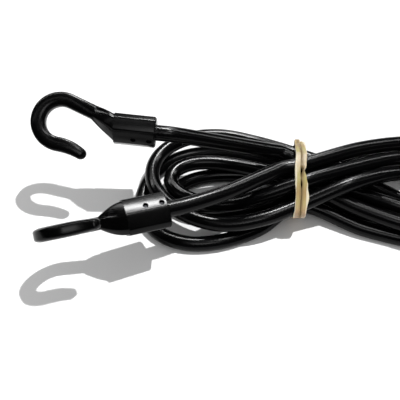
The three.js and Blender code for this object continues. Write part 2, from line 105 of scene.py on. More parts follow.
# Leads: from the cut beside the band to the mouth of each hook, and how each hook is turned
LEADS = {
    "upper": {
        "points": ((-2.01, 1.41, 3.15), (-5.67, 0.82, 4.62)),
        "mouth": (-9.29, 0.45, 5.75),
        "axis": (0.994, -0.054, -0.091),
        "face": (0.042, -0.582, 0.812),
    },
    "lower": {
        "points": ((-2.07, -0.83, 3.33), (-4.96, -2.64, 3.67)),
        "mouth": (-8.54, -4.17, 4),
        "axis": (0.934, 0.336, -0.123),
        "face": (-0.204, 0.782, 0.589),
    },
}

# Hook, in millimetres in its own frame: mouth at x = 0, J at negative x, tip at negative y
BAR_WIDTH = 7.1
BAR_THICKNESS = 6.3
BAR_DOME_WIDTH = 2.2
BAR_DOME_DROP = 0.9
BAR_ROUNDING = 0.9
THROAT_RADIUS = 7.6
THROAT_CENTRE = (-46.7, 0.5)
TIP_LENGTH = 15.2
TIP_FLARE = math.radians(4)
TIP_CURL = math.radians(32)
TIP_TAPER = 0.3
SHANK_SLOPE = math.radians(20)
SHANK_LENGTH = 12.5
SOCKET_LENGTH = 20.4
SOCKET_WIDTH = 13.8
SOCKET_THICKNESS = 17
SOCKET_CHAMFER = 2.5
SOCKET_ROUNDING = 0.8
PIN_FLAT_WIDTH = 5
PIN_FLAT_DROP = 7.2
PIN_FLAT_CROWN = 0.2
SOCKET_STEP = 0.6
MOUTH_BREAK = 0.7
BORE_RADIUS = 4.3
BORE_DEPTH = 18.4
PIN_HOLE_RADIUS = 1.35
PIN_HOLE_REACH = 6.2
PIN_PLACES = (2.86, 10.61)
CORNER_POINTS = 4
LARGEST_ROUNDING = 0.45
CROWN_POINTS = 7
BORE_SIDES = 40
PIN_HOLE_SIDES = 24
SOCKET_CRISP = math.radians(32)
BAR_CRISP = math.radians(42)
THROAT_STEPS = 40
SHOULDER_STEPS = 30
LIMB_STEPS = 12
TIP_STEPS = 9
TIP_END_SHARE = 0.05

# Rubber band: one closed loop that goes twice round the waist and crosses itself at the back
BAND_WIDTH = 2.9 * MM
BAND_THICKNESS = 1.0 * MM
BAND_PITCH = 2.94 * MM
BAND_CLEARANCE = 0.35 * MM
BAND_STEPS = 150
BAND_SIDES = 14
BAND_SQUARENESS = 0.55
BAND_CROSSING = 0.07
BAND_LIFT = 1.15 * MM
BAND_LIFT_SHARE = 0.6
BAND_WANDER = 0.3 * MM
BAND_ROLL = math.radians(10)
BAND_NOISE_SCALE = 2.6
WANDER_SEED = 5.1
ROLL_SEED = 1.7
BAND_SLANT = 0.08
# Half twists of the second turn: where each starts and ends, as shares of a turn
BAND_TWISTS = ((0.265, 0.335), (0.885, 0.945))
# Where the band stands off to the side: which turns, the place and length as shares of a turn, and how far
FIRST, SECOND, BOTH = (-1,), (1,), (-1, 1)
BAND_BULGES = (
    (BOTH, 0.06, 0.09, 1.1 * MM),
    (BOTH, 0.28, 0.07, -0.7 * MM),
    (SECOND, 0.355, 0.012, 0.45 * MM),
    (FIRST, 0.355, 0.012, -0.25 * MM),
)
# Where a turn's outer rim stands out, given in the same way
BAND_FLARES = (
    (SECOND, 0.41, 0.032, 1.1 * MM),
    (FIRST, 0.48, 0.02, 0.5 * MM),
)
BAND_FLOOR_SHARE = 0.6
WAIST_REACH = 6 * MM
WAIST_SIDES = 24
WAIST_SMOOTHING = 2


def shift_of_frame():
    """From the hank's own origin to the frame's, read from the joint at the upper hook's mouth."""
    twist = next(joint for joint in frame["joints"] if joint["name"] == "upper_hook_twist")
    return Vector(twist["pos_m"]) - Vector(LEADS["upper"]["mouth"]) * CORD


SHIFT = shift_of_frame()


def place(point):
    """From cord diameters in the hank's own frame to metres in the shared frame."""
    return Vector(point) * CORD + SHIFT


def link(name, data):
    """A new object in the scene, which shows a mesh, a lamp or a camera."""
    piece = bpy.data.objects.new(name, data)
    bpy.context.scene.collection.objects.link(piece)
    return piece


def mix(a, b, share):
    return a + (b - a) * share


def smoothstep(value, start, end):
    """From 0 to 1, slow at both ends, while the value runs from start to end."""
    share = min(max((value - start) / (end - start), 0), 1)
    return share * share * (3 - 2 * share)


# Route of the cord

def bight_points(bight):
    """One bight, from its first pass out to its reach and back to its second pass."""
    start_name, end_name, side, reach, swell, lean, layers, crest, hold, fall = bight
    start, end = PASSES[start_name], PASSES[end_name]
    points = []
    for step in range(BIGHT_STEPS + 1):
        turn = math.pi * step / BIGHT_STEPS
        x = side * reach * math.sin(turn)
        spread = (start[0] - end[0]) / 2 * math.cos(turn) ** 3
        y = (start[0] + end[0]) / 2 + spread + swell * math.sin(2 * turn) + lean * math.sin(turn)
        layer = mix(layers[0], layers[1], smoothstep(turn, LAYER_SWAP_START, math.pi - LAYER_SWAP_START))
        half = 0 if step <= BIGHT_STEPS / 2 else 1
        risen = (start, end)[half][1] + crest[half] * smoothstep(abs(x), 0, CREST_RUN)
        z = mix(risen, layer, smoothstep(abs(x), hold[half], fall[half]))
        points.append(place((x, y, z)))
    return points


def lead_points(lead):
    """A lead from its cut to the hook's mouth, and the direction in which it leaves the hank."""
    cut, middle = (place(point) for point in lead["points"])
    mouth = place(lead["mouth"])
    axis = Vector(lead["axis"]).normalized()
    leaving = (middle - cut).normalized()
    return [cut, cut + leaving * CORD, middle, mouth + axis * CORD, mouth], leaving


def hank_points():
    """The route of the hank, from the cut of one lead to the cut of the other."""
    upper, upper_leaving = lead_points(LEADS["upper"])
    lower, lower_leaving = lead_points(LEADS["lower"])
    points = [upper[0], upper[0] - upper_leaving * CORD]
    for order, bight in enumerate(BIGHTS):
        run = bight_points(bight)
        points += run if order == 0 else run[1:]
    return points + [lower[0] - lower_leaving * CORD, lower[0]]


def smooth_line(points):
    """Centripetal curve through the points, then spaced evenly along its length."""
    ends = [points[0] * 2 - points[1]] + points + [points[-1] * 2 - points[-2]]
    dense = []
    for before, start, end, after in zip(ends, ends[1:], ends[2:], ends[3:]):
        gaps = [math.sqrt((b - a).length) for a, b in ((before, start), (start, end), (end, after))]
        leave = ((start - before) / gaps[0] - (end - before) / (gaps[0] + gaps[1])
                 + (end - start) / gaps[1]) * gaps[1]
        arrive = ((end - start) / gaps[1] - (after - start) / (gaps[1] + gaps[2])
                  + (after - end) / gaps[2]) * gaps[1]
        for part in range(CURVE_PARTS):
            share = part / CURVE_PARTS
            dense.append(start + leave * share
                         + (end * 3 - start * 3 - leave * 2 - arrive) * share ** 2
                         + (start * 2 - end * 2 + leave + arrive) * share ** 3)
    dense.append(points[-1])
    lengths = [0.0]
    for a, b in zip(dense, dense[1:]):
        lengths.append(lengths[-1] + (b - a).length)
    count = max(2, round(lengths[-1] / RING_SPACING))
    line, at = [], 0
    for step in range(count + 1):
        want = lengths[-1] * step / count
        while at < len(lengths) - 2 and lengths[at + 1] < want:
            at += 1
        line.append(dense[at].lerp(dense[at + 1], (want - lengths[at]) / (lengths[at + 1] - lengths[at])))
    return line, lengths[-1]


def tube(name, line, radius, start_length=0.0, sides=CORD_SIDES):
    """A round tube with a map that runs round it and along it, both in turns of its girth."""
    bm = bmesh.new()
    uv = bm.loops.layers.uv.new("braid")
    girth = 2 * math.pi * radius
    rings, marks = [], []
    length = start_length
    for order, centre in enumerate(line):
        before, after = line[max(order - 1, 0)], line[min(order + 1, len(line) - 1)]
        run = (after - before).normalized()
        across = Vector((0, 0, 1)).cross(run).normalized()
        upward = run.cross(across)
        if order:
            length += (centre - line[order - 1]).length
        ring = []
        for side in range(sides):
            angle = 2 * math.pi * side / sides - math.pi / 2
            point = centre + (across * math.cos(angle) + upward * math.sin(angle)) * radius
            point.z = max(point.z, 0)
            ring.append(bm.verts.new(point))
        rings.append(ring)
        marks.append(length / girth)
    for order in range(len(rings) - 1):
        for side in range(sides):
            turn = (side + 1) % sides
            face = bm.faces.new((rings[order][side], rings[order][turn],
                                 rings[order + 1][turn], rings[order + 1][side]))
            spots = ((side, order), (side + 1, order), (side + 1, order + 1), (side, order + 1))
            for loop, (around, along) in zip(face.loops, spots):
                loop[uv].uv = (around / sides, marks[along])
            face.smooth = True
    for rim in (list(reversed(rings[0])), rings[-1]):
        for edge in bm.faces.new(rim).edges:
            edge.smooth = False
    bm.normal_update()
    mesh = bpy.data.meshes.new(name)
    bm.to_mesh(mesh)
    bm.free()
    return link(name, mesh)


# Materials

# Sockets of the mix node when it mixes colours
MIX_FIRST_COLOUR = 6
MIX_SECOND_COLOUR = 7
MIX_COLOUR = 2


def new_material(name):
    material = bpy.data.materials.new(name)
    material.use_nodes = True
    tree = material.node_tree
    tree.nodes.clear()
    out = tree.nodes.new("ShaderNodeOutputMaterial")
    shader = tree.nodes.new("ShaderNodeBsdfPrincipled")
    tree.links.new(shader.outputs["BSDF"], out.inputs["Surface"])
    return material, tree, shader


def feed(tree, socket, value):
    """Join a socket to another, or give it a fixed value."""
    if isinstance(value, bpy.types.NodeSocket):
        tree.links.new(value, socket)
    else:
        socket.default_value = value


def maths(tree, operation, *values):
    node = tree.nodes.new("ShaderNodeMath")
    node.operation = operation
    for socket, value in zip(node.inputs, values):
        feed(tree, socket, value)
    return node.outputs[0]


def noise_of(tree, scale, detail, stretch=(1, 1, 1)):
    """Chance between 0 and 1 that lies still on the piece."""
    coordinates = tree.nodes.new("ShaderNodeTexCoord")
    mapping = tree.nodes.new("ShaderNodeMapping")
    mapping.inputs["Scale"].default_value = stretch
    tree.links.new(coordinates.outputs["Object"], mapping.inputs["Vector"])
    node = tree.nodes.new("ShaderNodeTexNoise")
    node.inputs["Scale"].default_value = scale
    node.inputs["Detail"].default_value = detail
    tree.links.new(mapping.outputs["Vector"], node.inputs["Vector"])
    return node.outputs["Fac"]


def ramp(tree, factor, low, high, low_at=0.3, high_at=0.7):
    """A colour between two, where the factor runs from low_at to high_at."""
    node = tree.nodes.new("ShaderNodeValToRGB")
    node.color_ramp.elements[0].position = low_at
    node.color_ramp.elements[0].color = (*low, 1)
    node.color_ramp.elements[1].position = high_at
    node.color_ramp.elements[1].color = (*high, 1)
    tree.links.new(factor, node.inputs["Fac"])
    return node.outputs["Color"]


def spread(tree, factor, low, high):
    """A number between two, where the factor runs from 0 to 1."""
    node = tree.nodes.new("ShaderNodeMapRange")
    feed(tree, node.inputs["Value"], factor)
    node.inputs["To Min"].default_value = low
    node.inputs["To Max"].default_value = high
    return node.outputs["Result"]


def bump(tree, shader, height, strength, distance):
    node = tree.nodes.new("ShaderNodeBump")
    node.inputs["Strength"].default_value = strength
    node.inputs["Distance"].default_value = distance
    tree.links.new(height, node.inputs["Height"])
    tree.links.new(node.outputs["Normal"], shader.inputs["Normal"])


def blend_in(tree, tint, colour, factor, start, end):
    """The tint gives way to the colour where the factor runs from start to end."""
    share = tree.nodes.new("ShaderNodeMapRange")
    share.inputs["From Min"].default_value = start
    share.inputs["From Max"].default_value = end
    tree.links.new(factor, share.inputs["Value"])
    node = tree.nodes.new("ShaderNodeMix")
    node.data_type = "RGBA"
    tree.links.new(share.outputs["Result"], node.inputs["Factor"])
    tree.links.new(tint, node.inputs[MIX_FIRST_COLOUR])
    node.inputs[MIX_SECOND_COLOUR].default_value = (*colour, 1)
    return node.outputs[MIX_COLOUR]


BLACK_SHEEN = 0.1
RUBBER_SHEEN = 0.2
BRAID_STRANDS = 12
BRAID_RELIEF = 0.25 * MM
BRAID_VALLEY = 0.6
BRAID_FIBRE = 0.25
# Braid colours by height: the darker valleys are painted shade, and the fibre noise adds a random tone
BRAID_TONE_AND_VALLEY_SHADE = ((0.0005, 0.0005, 0.0006), (0.002, 0.002, 0.0022))


def braid_material():
    """Two sets of strands cross round the cord, and each cell shows the set that lies on top there. The
    colour is darker in the valleys between strands, which is painted shade, and varies at random with the
    fibre.
    """
    material, tree, shader = new_material("cord_braid_black")
    uv = tree.nodes.new("ShaderNodeUVMap")
    uv.uv_map = "braid"
    split = tree.nodes.new("ShaderNodeSeparateXYZ")
    tree.links.new(uv.outputs["UV"], split.inputs["Vector"])
    around = maths(tree, "MULTIPLY", split.outputs["X"], BRAID_STRANDS)
    along = maths(tree, "MULTIPLY", split.outputs["Y"], BRAID_STRANDS)
    rising = maths(tree, "ADD", around, along)
    falling = maths(tree, "SUBTRACT", around, along)
    ridges, cells = [], []
    for set_of_strands in (rising, falling):
        within = maths(tree, "FRACT", set_of_strands)
        ridges.append(maths(tree, "SINE", maths(tree, "MULTIPLY", within, math.pi)))
        cells.append(maths(tree, "FLOOR", set_of_strands))
    odd = maths(tree, "ABSOLUTE", maths(tree, "MODULO", maths(tree, "ADD", *cells), 2.0))
    even = maths(tree, "SUBTRACT", 1.0, odd)
    shown = maths(tree, "ADD", maths(tree, "MULTIPLY", ridges[0], odd),
                  maths(tree, "MULTIPLY", ridges[1], even))
    middle = maths(tree, "MULTIPLY", ridges[0], ridges[1])
    rounding = maths(tree, "ADD", BRAID_VALLEY, maths(tree, "MULTIPLY", 1 - BRAID_VALLEY, middle))
    crown = maths(tree, "MULTIPLY", shown, rounding)
    fibre = noise_of(tree, scale=900, detail=2)
    height = maths(tree, "ADD", crown, maths(tree, "MULTIPLY", fibre, BRAID_FIBRE))
    # Colour from the height: painted shade in the valleys, lighter on the crowns of the strands
    tree.links.new(ramp(tree, height, *BRAID_TONE_AND_VALLEY_SHADE, low_at=0.1, high_at=1), shader.inputs["Base Color"])
    tree.links.new(spread(tree, fibre, low=0.17, high=0.23), shader.inputs["Roughness"])
    shader.inputs["Specular IOR Level"].default_value = BLACK_SHEEN
    bump(tree, shader, height, strength=0.05, distance=BRAID_RELIEF)
    return material


PLASTIC_TINTS = ((0.0006, 0.0006, 0.0007), (0.0016, 0.0016, 0.0017))
PLASTIC_RELIEF = 0.05 * MM


def hook_material():
    """Moulded plastic, clouded, with fine grain and scuffs along one way."""
    material, tree, shader = new_material("hook_plastic_black")
    cloud = noise_of(tree, scale=60, detail=4)
    grain = noise_of(tree, scale=1400, detail=2)
    scuff = noise_of(tree, scale=300, detail=3, stretch=(0.12, 1, 1))
    wear = maths(tree, "MULTIPLY", maths(tree, "ADD", cloud, scuff), 0.5)
    tree.links.new(ramp(tree, cloud, *PLASTIC_TINTS), shader.inputs["Base Color"])
    tree.links.new(spread(tree, wear, low=0.16, high=0.26), shader.inputs["Roughness"])
    shader.inputs["Specular IOR Level"].default_value = BLACK_SHEEN
    bump(tree, shader, maths(tree, "ADD", grain, scuff), strength=0.12, distance=PLASTIC_RELIEF)
    return material


WEAVE_TINTS = ((0.002, 0.002, 0.0022), (0.01, 0.01, 0.011))
WEAVE_RELIEF = 0.15 * MM


def weave_material():
    """The braid where it is pinned inside a socket, pressed flat."""
    material, tree, shader = new_material("cord_end_black")
    weave = noise_of(tree, scale=1100, detail=2)
    tree.links.new(ramp(tree, weave, *WEAVE_TINTS), shader.inputs["Base Color"])
    tree.links.new(spread(tree, weave, low=0.5, high=0.7), shader.inputs["Roughness"])
    shader.inputs["Specular IOR Level"].default_value = RUBBER_SHEEN
    bump(tree, shader, weave, strength=0.3, distance=WEAVE_RELIEF)
    return material


CORE_TINTS = ((0.5, 0.44, 0.32), (0.68, 0.62, 0.48))
CORE_RELIEF = 0.1 * MM


def core_material():
    """Pale latex strands."""
    material, tree, shader = new_material("cord_core_rubber")
    cloud = noise_of(tree, scale=500, detail=3)
    tree.links.new(ramp(tree, cloud, *CORE_TINTS), shader.inputs["Base Color"])
    tree.links.new(spread(tree, cloud, low=0.65, high=0.85), shader.inputs["Roughness"])
    shader.inputs["Specular IOR Level"].default_value = RUBBER_SHEEN
    bump(tree, shader, cloud, strength=0.3, distance=CORE_RELIEF)
    return material


PIN_TINTS = ((0.004, 0.004, 0.0043), (0.01, 0.01, 0.011))


def pin_material():
    """Dark steel wire."""
    material, tree, shader = new_material("pin_steel")
    grain = noise_of(tree, scale=3000, detail=3)
    tree.links.new(ramp(tree, grain, *PIN_TINTS), shader.inputs["Base Color"])
    shader.inputs["Metallic"].default_value = 1.0
    tree.links.new(spread(tree, grain, low=0.3, high=0.55), shader.inputs["Roughness"])
    return material


# Tints of the rubber band by height in millimetres, those of its outer rims, and the painted shade of the
# seam between its two turns.
# A rim or a seam starts and ends at these distances from the middle, in widths of a turn.
BAND_TINTS = (
    (15, (0.40, 0.30, 0.21)),
    (19, (0.43, 0.30, 0.17)),
    (22, (0.38, 0.30, 0.12)),
    (25, (0.33, 0.22, 0.09)),
    (28.5, (0.36, 0.31, 0.115)),
    (31, (0.47, 0.39, 0.26)),
)
BAND_RIM = ((0.62, 0.56, 0.42), 0.95, 1.12)
# The seam tint is painted shade in the gap where the two turns meet
BAND_SEAM_SHADE = ((0.2, 0.14, 0.06), 0.62, 0.22)
BAND_RAGGED = 0.3
BAND_BLOTCH = 5 * MM
BAND_RELIEF = 0.3 * MM
BAND_GLOW_REACH = (1.0 * MM, 0.6 * MM, 0.3 * MM)


def tint_by_height(tree, height):
    """The band's tints, each at its own height."""
    lowest, highest = BAND_TINTS[0][0], BAND_TINTS[-1][0]
    share = tree.nodes.new("ShaderNodeMapRange")
    share.inputs["From Min"].default_value = lowest * MM
    share.inputs["From Max"].default_value = highest * MM
    tree.links.new(height, share.inputs["Value"])
    tints = tree.nodes.new("ShaderNodeValToRGB")
    stops = tints.color_ramp.elements
    stops[0].color = (*BAND_TINTS[0][1], 1)
    stops[1].color = (*BAND_TINTS[-1][1], 1)
    for level, tint in BAND_TINTS[1:-1]:
        stops.new((level - lowest) / (highest - lowest)).color = (*tint, 1)
    tree.links.new(share.outputs["Result"], tints.inputs["Fac"])
    return tints.outputs["Color"]


def band_material():
    """Rubber, pale, olive and brown by turns with height up the band, with paler rims, painted shade along
    the seam between the turns, and lengthwise wrinkles.
    """
    material, tree, shader = new_material("band_rubber_tan")
    cloud = noise_of(tree, scale=150, detail=3)
    wrinkle = noise_of(tree, scale=900, detail=3, stretch=(1, 0.3, 0.3))
    coordinates = tree.nodes.new("ShaderNodeTexCoord")
    split = tree.nodes.new("ShaderNodeSeparateXYZ")
    tree.links.new(coordinates.outputs["Object"], split.inputs["Vector"])
    blotch = maths(tree, "MULTIPLY", maths(tree, "SUBTRACT", cloud, 0.5), BAND_BLOTCH)
    tint = tint_by_height(tree, maths(tree, "ADD", split.outputs["Z"], blotch))
    slant = maths(tree, "MULTIPLY", maths(tree, "SUBTRACT", split.outputs["Y"], SHIFT.y), BAND_SLANT)
    middle = maths(tree, "ADD", slant, SHIFT.x)
    aside = maths(tree, "ABSOLUTE", maths(tree, "SUBTRACT", split.outputs["X"], middle))
    ragged = maths(tree, "ADD", maths(tree, "DIVIDE", aside, BAND_PITCH),
                   maths(tree, "MULTIPLY", wrinkle, BAND_RAGGED))
    # Painted shade along the seam between the turns, then the paler tint of the outer rims
    for colour, start, end in (BAND_SEAM_SHADE, BAND_RIM):
        tint = blend_in(tree, tint, colour, ragged, start, end)
    tree.links.new(tint, shader.inputs["Base Color"])
    tree.links.new(spread(tree, wrinkle, low=0.4, high=0.65), shader.inputs["Roughness"])
    shader.inputs["Specular IOR Level"].default_value = RUBBER_SHEEN
    shader.inputs["Subsurface Weight"].default_value = 0.2
    shader.inputs["Subsurface Radius"].default_value = BAND_GLOW_REACH
    shader.inputs["Subsurface Scale"].default_value = 1.0
    bump(tree, shader, wrinkle, strength=0.5, distance=BAND_RELIEF)
    return material


FLOOR_TINTS = ((0.86, 0.86, 0.86), (0.88, 0.88, 0.88))
FLOOR_SHEEN = 0.04


def floor_material():
    """White paper, very slightly clouded."""
    material, tree, shader = new_material("floor_white")
    cloud = noise_of(tree, scale=4, detail=2)
    tree.links.new(ramp(tree, cloud, *FLOOR_TINTS), shader.inputs["Base Color"])
    shader.inputs["Roughness"].default_value = 0.9
    shader.inputs["Specular IOR Level"].default_value = FLOOR_SHEEN
    return material


BRAID = braid_material()
PLASTIC = hook_material()
WEAVE = weave_material()
CORE = core_material()
STEEL = pin_material()
BAND = band_material()

# Camera, set to the photograph's angle and framing

CAMERA_TARGET = Vector((-52.5, -2.97, 0)) * MM + SHIFT
CAMERA_ELEVATION = math.radians(52.3)
CAMERA_DISTANCE = 292.6 * MM
SENSOR_WIDTH = 36
FOCAL_PIXELS = 525
FRAME_PIXELS = 400


def add_camera():
    data = bpy.data.cameras.new("camera")
    data.sensor_width = SENSOR_WIDTH
    data.lens = FOCAL_PIXELS / FRAME_PIXELS * SENSOR_WIDTH
    camera = link("camera", data)
    towards = Vector((0, math.cos(CAMERA_ELEVATION), -math.sin(CAMERA_ELEVATION)))
    camera.location = CAMERA_TARGET - towards * CAMERA_DISTANCE
    camera.rotation_euler = towards.to_track_quat("-Z", "Y").to_euler()
    bpy.context.scene.camera = camera


add_camera()

# Cord pieces: the hank is one unbroken tube, and each lead goes on from it to its hook

hank_line, hank_length = smooth_line(hank_points())
hank = tube("hank_braid", hank_line, CORD / 2)
hank.data.materials.append(BRAID)
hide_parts("hank_sheath")
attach(hank, "hank")

for end, lead in LEADS.items():
    points, leaving = lead_points(lead)
    line, length = smooth_line(points)
    if end == "upper":
        line = line[::-1]
    before = -length if end == "upper" else hank_length
    sheath = tube(f"{end}_lead_braid", line, CORD / 2, before)
    sheath.data.materials.append(BRAID)
    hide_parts(f"{end}_lead_sheath")
    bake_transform(sheath)
    core = tube(f"{end}_lead_rubber", line, CORE_RADIUS)
    core.data.materials.append(CORE)
    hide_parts(f"{end}_lead_core")
    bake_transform(core)

# Hooks


def rounded_outline(half_width, half_thickness, pin_flat, plain, rounding, crown=0):
    """The section's eight corners, each rounded, with a crown on the pin flat between the first two."""
    flat_width, flat_drop = pin_flat
    plain_width, plain_drop = plain
    corners = [Vector(corner) for corner in (
        (-half_width + flat_width, half_thickness),
        (-half_width, half_thickness - flat_drop),
        (-half_width, -half_thickness + plain_drop),
        (-half_width + plain_width, -half_thickness),
        (half_width - plain_width, -half_thickness),
        (half_width, -half_thickness + plain_drop),
        (half_width, half_thickness - plain_drop),
        (half_width - plain_width, half_thickness),
    )]
    outline = []
    for order, corner in enumerate(corners):
        before, after = corners[order - 1], corners[(order + 1) % len(corners)]
        cuts = []
        for other in (before, after):
            reach = min(rounding, (other - corner).length * LARGEST_ROUNDING)
            cuts.append(corner + (other - corner).normalized() * reach)
        for step in range(CORNER_POINTS):
            share = step / (CORNER_POINTS - 1)
            outline.append(cuts[0].lerp(corner, share).lerp(corner.lerp(cuts[1], share), share))
        if order == 0:
            along = (after - corner).normalized()
            outward = Vector((along.y, -along.x))
            reach = (after - corner).length - 2 * (cuts[1] - corner).length
            for step in range(1, CROWN_POINTS + 1):
                share = step / (CROWN_POINTS + 1)
                raised = crown * 4 * share * (1 - share)
                outline.append(cuts[1] + along * reach * share + outward * raised)
    return outline


def scaled(outline, share_width, share_thickness):
    return [Vector((point.x * share_width, point.y * share_thickness)) for point in outline]


BAR_DOME = (BAR_DOME_WIDTH, BAR_DOME_DROP)
BAR_OUTLINE = rounded_outline(BAR_WIDTH / 2, BAR_THICKNESS / 2, BAR_DOME, BAR_DOME, BAR_ROUNDING)
SOCKET_OUTLINE = rounded_outline(SOCKET_WIDTH / 2, SOCKET_THICKNESS / 2, (PIN_FLAT_WIDTH, PIN_FLAT_DROP),
                                 (SOCKET_CHAMFER, SOCKET_CHAMFER), SOCKET_ROUNDING, PIN_FLAT_CROWN)


def drawn_in(depth):
    """The socket's outline, smaller all round by the depth."""
    return scaled(SOCKET_OUTLINE, 1 - 2 * depth / SOCKET_WIDTH, 1 - 2 * depth / SOCKET_THICKNESS)


def limb_station(start, along, roundness):
    """The limb curls away from the shank and grows thinner towards its tip."""
    share = along / TIP_LENGTH
    flare = TIP_FLARE + TIP_CURL * share
    bend = TIP_LENGTH / TIP_CURL
    size = roundness * (1 - TIP_TAPER * share * share)
    return (start[0] + bend * (math.sin(flare) - math.sin(TIP_FLARE)),
            start[1] + bend * (math.cos(flare) - math.cos(TIP_FLARE)),
            math.pi - flare, scaled(BAR_OUTLINE, size, size))


def hook_stations():
    """Sections of the hook from its tip to its mouth: centre, slope of the run and outline."""
    mean = THROAT_RADIUS + BAR_WIDTH / 2

    def on_throat(angle):
        return THROAT_CENTRE[0] + mean * math.cos(angle), THROAT_CENTRE[1] + mean * math.sin(angle)

    limb_angle = 1.5 * math.pi - TIP_FLARE
    shank_angle = math.pi / 2 - SHANK_SLOPE
    stations = []
    limb = on_throat(limb_angle)
    round_length = BAR_WIDTH / 2 * (1 - TIP_TAPER)
    for step in range(TIP_STEPS + 1):
        turn = math.pi / 2 * mix(TIP_END_SHARE, 1, step / TIP_STEPS)
        stations.append(limb_station(limb, TIP_LENGTH - round_length * (1 - math.cos(turn)), math.sin(turn)))
    for step in range(1, LIMB_STEPS):
        stations.append(limb_station(limb, (TIP_LENGTH - round_length) * (1 - step / LIMB_STEPS), 1))
    for step in range(THROAT_STEPS + 1):
        angle = mix(limb_angle, shank_angle, step / THROAT_STEPS)
        stations.append((*on_throat(angle), angle - math.pi / 2, BAR_OUTLINE))
    shank = on_throat(shank_angle)
    shank_end = (shank[0] + SHANK_LENGTH * math.cos(SHANK_SLOPE),
                 shank[1] - SHANK_LENGTH * math.sin(SHANK_SLOPE))
    shrunk = drawn_in(SOCKET_STEP)
    for step in range(SHOULDER_STEPS + 1):
        share = step / SHOULDER_STEPS
        widening = smoothstep(share, 0, 1)
        thickening = math.sin(share * math.pi / 2)
        outline = [Vector((mix(bar.x, full.x, share), mix(bar.y, full.y, thickening)))
                   for bar, full in zip(BAR_OUTLINE, shrunk)]
        stations.append((mix(shank_end[0], -SOCKET_LENGTH, share), mix(shank_end[1], 0, share),
                         -SHANK_SLOPE * (1 - widening), outline))
    stations.append((-SOCKET_LENGTH, 0, 0, SOCKET_OUTLINE))
    stations.append((-MOUTH_BREAK, 0, 0, SOCKET_OUTLINE))
    stations.append((0, 0, 0, drawn_in(MOUTH_BREAK)))
    return stations


def hook_loft():
    """The moulding without its holes, lofted through the stations."""
    bm = bmesh.new()
    rings = []
    for x, y, slope, outline in hook_stations():
        ring = []
        for point in outline:
            spot = Vector((x - point.x * math.sin(slope), y + point.x * math.cos(slope), point.y))
            ring.append(bm.verts.new(spot * MM))
        rings.append(ring)
    count = len(rings[0])
    for ring, following in zip(rings, rings[1:]):
        for side in range(count):
            turn = (side + 1) % count
            bm.faces.new((ring[side], ring[turn], following[turn], following[side]))
    bm.faces.new(list(reversed(rings[0])))
    bm.faces.new(rings[-1])
    bmesh.ops.recalc_face_normals(bm, faces=bm.faces)
    mesh = bpy.data.meshes.new("hook_loft")
    bm.to_mesh(mesh)
    bm.free()
    return mesh


def cutter(radius, start, end, sides):
    """A round cutter between two points of the hook's frame."""
    bm = bmesh.new()
    axis = end - start
    turn = axis.to_track_quat("Z", "Y").to_matrix().to_4x4()
    middle = Matrix.Translation((start + end) / 2 * MM)
    bmesh.ops.create_cone(bm, cap_ends=True, segments=sides, radius1=radius * MM, radius2=radius * MM,
                          depth=axis.length * MM, matrix=middle @ turn)
    mesh = bpy.data.meshes.new("cutter")
    bm.to_mesh(mesh)
    bm.free()
    return link("cutter", mesh)


def mark_edges(mesh):
    """Smooth shading, broken at crisp edges on the socket and at fewer on the bar and the shoulder."""
    mesh.polygons.foreach_set("use_smooth", [True] * len(mesh.polygons))
    bm = bmesh.new()
    bm.from_mesh(mesh)
    for edge in bm.edges:
        on_socket = max(vertex.co.x for vertex in edge.verts) > -(SOCKET_LENGTH + SOCKET_STEP) * MM
        edge.smooth = edge.calc_face_angle(0) < (SOCKET_CRISP if on_socket else BAR_CRISP)
    bm.to_mesh(mesh)
    bm.free()


def hook_mesh():
    """The moulding with its bore and its two pin holes cut."""
    hook = link("hook_blank", hook_loft())
    pin = Vector((0, -PIN_FLAT_DROP, PIN_FLAT_WIDTH)).normalized()
    cutters = [cutter(BORE_RADIUS, Vector((-BORE_DEPTH, 0, 0)), Vector((SOCKET_LENGTH, 0, 0)), BORE_SIDES)]
    for spot in PIN_PLACES:
        at = Vector((-spot, 0, 0))
        inner, outer = at - pin * PIN_HOLE_REACH, at + pin * SOCKET_WIDTH
        cutters.append(cutter(PIN_HOLE_RADIUS, inner, outer, PIN_HOLE_SIDES))
    for tool in cutters:
        modifier = hook.modifiers.new("cut", "BOOLEAN")
        modifier.operation = "DIFFERENCE"
        modifier.solver = "EXACT"
        modifier.object = tool
    bpy.context.view_layer.update()
    mesh = bpy.data.meshes.new_from_object(hook.evaluated_get(bpy.context.evaluated_depsgraph_get()))
    for spent in cutters + [hook]:
        bpy.data.objects.remove(spent)
    mark_edges(mesh)
    return mesh


def hook_matrix(lead):
    """Where a hook stands: its mouth, and its turn about the end of the lead."""
    along = Vector(lead["axis"]).normalized()
    face = Vector(lead["face"])
    face = (face - along * face.dot(along)).normalized()
    side = face.cross(along)
    turn = Matrix((along, side, face)).transposed().to_4x4()
    return Matrix.Translation(place(lead["mouth"])) @ turn


HOOK = hook_mesh()
for end, lead in LEADS.items():
    hook = link(f"{end}_hook_moulding", HOOK.copy())
    hook.data.materials.clear()
    hook.data.materials.append(PLASTIC)
    hook.data.transform(hook_matrix(lead))
    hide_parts(f"{end}_hook")
    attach(hook, f"{end}_hook")

# Rubber band


def hull(points):
    """The tight loop round a set of points, anticlockwise."""
    points = sorted(points)

    def half(run):
        chain = []
        for point in run:
            while len(chain) > 1 and ((chain[-1][0] - chain[-2][0]) * (point[1] - chain[-2][1])
                                      - (chain[-1][1] - chain[-2][1]) * (point[0] - chain[-2][0])) <= 0:
                chain.pop()
            chain.append(point)
        return chain[:-1]

    return half(points) + half(points[::-1])


